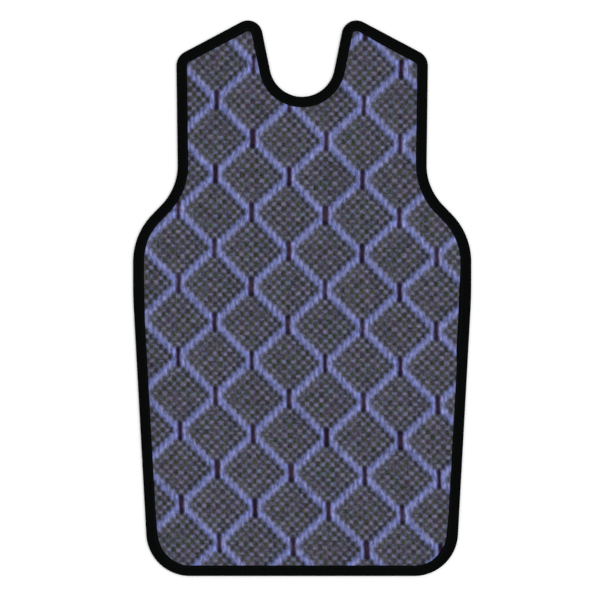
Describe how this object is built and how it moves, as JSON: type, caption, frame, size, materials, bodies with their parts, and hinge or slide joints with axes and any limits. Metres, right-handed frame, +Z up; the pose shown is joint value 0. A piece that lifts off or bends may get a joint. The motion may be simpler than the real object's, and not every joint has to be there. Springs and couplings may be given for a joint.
{
  "type": "lead x-ray apron",
  "caption": "Flat frontal x-ray apron with a scooped neck, shoulder tabs, armholes and a rounded hem: patterned cloth over a lead-filled sheet, bound with black tape.",
  "frame": {"origin": "on the surface that the apron lies on, under the middle of its length and width", "axes": "+X across the apron, +Y from the hem to the neck, +Z up out of the patterned face"},
  "size_m": [0.61, 1.002, 0.0053],
  "materials": {
    "face_cloth": "matte woven cloth, dark checks under a periwinkle trellis with maroon bars",
    "lead_sheet": "matte grey lead-filled vinyl sheet",
    "back_cloth": "plain dark close-woven coated cloth",
    "edge_binding": "matte black woven binding tape"
  },
  "bodies": {
    "root": {"face_cloth": "face_cloth", "lead_sheet": "lead_sheet", "back_cloth": "back_cloth", "edge_binding": "edge_binding"}
  },
  "joints": []
}
